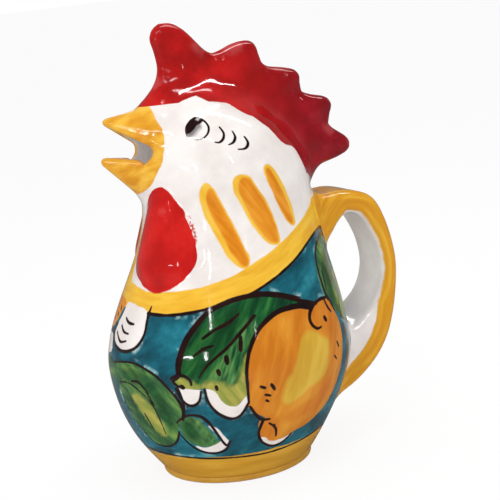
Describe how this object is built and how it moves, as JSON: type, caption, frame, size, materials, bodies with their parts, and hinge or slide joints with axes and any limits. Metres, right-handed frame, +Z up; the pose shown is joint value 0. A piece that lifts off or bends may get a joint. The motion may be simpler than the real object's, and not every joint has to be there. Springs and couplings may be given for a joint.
{
  "type": "rooster pitcher",
  "caption": "Glazed ceramic jug shaped as a rooster: pours through the open beak, comb on the head, strap handle at the back.",
  "frame": {"origin": "centre of the foot, on the plane that the jug stands on", "axes": "+Z up, +X from the beak towards the handle, +Y to the rooster's left"},
  "size_m": [0.1652, 0.131, 0.2377],
  "materials": {
    "body_glaze": "glossy tin glaze, teal ground with painted fruit and leaves, ochre foot band",
    "head_glaze": "glossy white tin glaze with orange feather strokes and a yellow collar",
    "red_glaze": "glossy red glaze, darker towards the back, paler on the edges",
    "beak_glaze": "glossy yellow-ochre glaze, white inside",
    "handle_glaze": "glossy yellow glaze on the outside and edges, white on the inside face",
    "bare_clay": "unglazed fired earthenware"
  },
  "bodies": {
    "root": {"body_shell": "body_glaze", "foot_ring": "bare_clay", "head_shell": "head_glaze", "comb": "red_glaze", "upper_beak": "beak_glaze", "lower_beak": "beak_glaze", "wattle_left": "red_glaze", "wattle_right": "red_glaze", "handle": "handle_glaze"}
  },
  "joints": []
}
